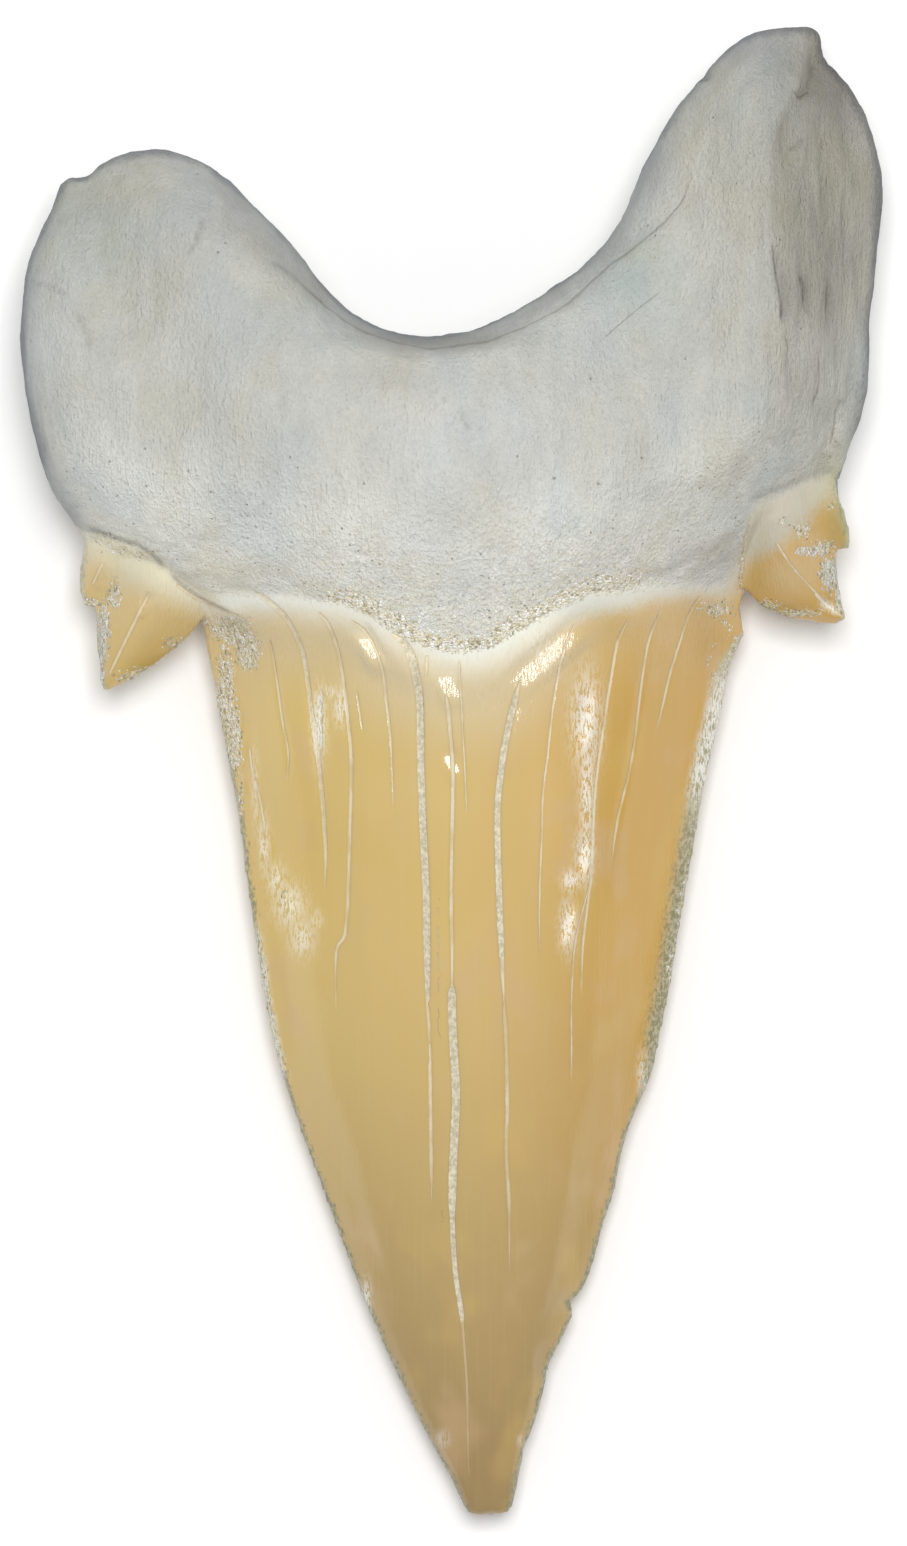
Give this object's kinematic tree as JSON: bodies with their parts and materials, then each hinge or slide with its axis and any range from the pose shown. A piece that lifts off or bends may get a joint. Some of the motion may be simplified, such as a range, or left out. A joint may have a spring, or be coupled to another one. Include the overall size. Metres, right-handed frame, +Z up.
{
  "type": "fossil shark tooth",
  "caption": "Fossil mackerel-shark tooth lying on its flat labial face: a two-lobed root, a tall triangular crown with cutting edges, and small cusplets at both shoulders.",
  "frame": {"origin": "centre of the tooth's bounding box in plan, on the surface that it lies on", "axes": "+Z up, out of the convex lingual face; +Y from the crown's tip to the root's lobes; +X across the tooth, towards the longer lobe"},
  "size_m": [0.043, 0.0744, 0.0159],
  "materials": {
    "fossil_tooth": "chalky pale grey root, glossy caramel enameloid crown with pale cracks"
  },
  "bodies": {
    "root": {"fossil_shark_tooth": "fossil_tooth"}
  },
  "joints": []
}
